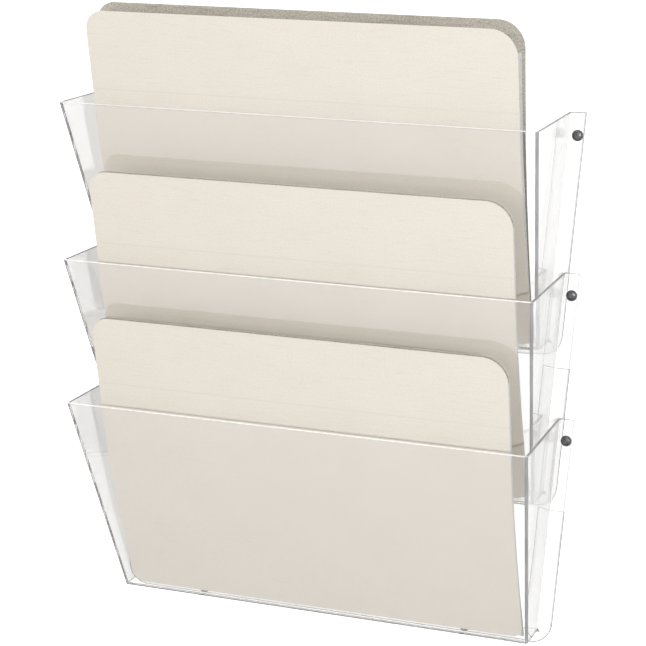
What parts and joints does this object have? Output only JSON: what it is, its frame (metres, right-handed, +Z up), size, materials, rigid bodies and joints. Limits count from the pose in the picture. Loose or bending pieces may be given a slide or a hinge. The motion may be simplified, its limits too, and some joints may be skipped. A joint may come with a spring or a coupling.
{
  "type": "wall file pocket set",
  "caption": "Clear moulded wall pockets mounted one above another with their ends overlapping, screwed to a wall, each with a letter-size manila folder of papers leaning in it.",
  "frame": {"origin": "middle of the back face of the top pocket's lip, the flat strip under its floor that lies on the wall", "axes": "+Z up, +Y into the wall, so the pockets stand out towards -Y; +X to the right as seen from the room"},
  "size_m": [0.3502, 0.1005, 0.4447],
  "materials": {
    "clear_plastic": "clear, polished, with the faint grey edges of clear polystyrene",
    "black_screw": "black phosphate, satin",
    "manila_card": "matt manila card",
    "white_paper": "matt copier paper"
  },
  "bodies": {
    "wall_file": {"top_pocket": "clear_plastic", "top_flange_screw_left": "black_screw", "top_flange_screw_right": "black_screw", "top_lip_screw_left": "black_screw", "top_lip_screw_right": "black_screw", "middle_pocket": "clear_plastic", "middle_flange_screw_left": "black_screw", "middle_flange_screw_right": "black_screw", "middle_lip_screw_left": "black_screw", "middle_lip_screw_right": "black_screw", "bottom_pocket": "clear_plastic", "bottom_flange_screw_left": "black_screw", "bottom_flange_screw_right": "black_screw", "bottom_lip_screw_left": "black_screw", "bottom_lip_screw_right": "black_screw"},
    "top_folder": {"top_folder_rear_cover": "manila_card", "top_folder_papers": "white_paper"},
    "top_folder_front": {"top_folder_front_cover": "manila_card"},
    "middle_folder": {"middle_folder_rear_cover": "manila_card", "middle_folder_papers": "white_paper"},
    "middle_folder_front": {"middle_folder_front_cover": "manila_card"},
    "bottom_folder": {"bottom_folder_rear_cover": "manila_card", "bottom_folder_papers": "white_paper"},
    "bottom_folder_front": {"bottom_folder_front_cover": "manila_card"}
  },
  "joints": [
    {"name": "top_folder_lift", "type": "slide", "parent": "wall_file", "child": "top_folder", "axis": [0, -0.3785, 0.9256], "range_m": [0, 0.18]},
    {"name": "top_folder_open", "type": "hinge", "parent": "top_folder", "child": "top_folder_front", "pos_m": [0, -0.0219, 0.007], "axis": [1, 0, 0], "range_deg": [0, 4.5]},
    {"name": "middle_folder_lift", "type": "slide", "parent": "wall_file", "child": "middle_folder", "axis": [0, -0.3785, 0.9256], "range_m": [0, 0.18]},
    {"name": "middle_folder_open", "type": "hinge", "parent": "middle_folder", "child": "middle_folder_front", "pos_m": [0, -0.0219, -0.1019], "axis": [1, 0, 0], "range_deg": [0, 4.5]},
    {"name": "bottom_folder_lift", "type": "slide", "parent": "wall_file", "child": "bottom_folder", "axis": [0, -0.3785, 0.9256], "range_m": [0, 0.18]},
    {"name": "bottom_folder_open", "type": "hinge", "parent": "bottom_folder", "child": "bottom_folder_front", "pos_m": [0, -0.0219, -0.2045], "axis": [1, 0, 0], "range_deg": [0, 4.5]}
  ]
}
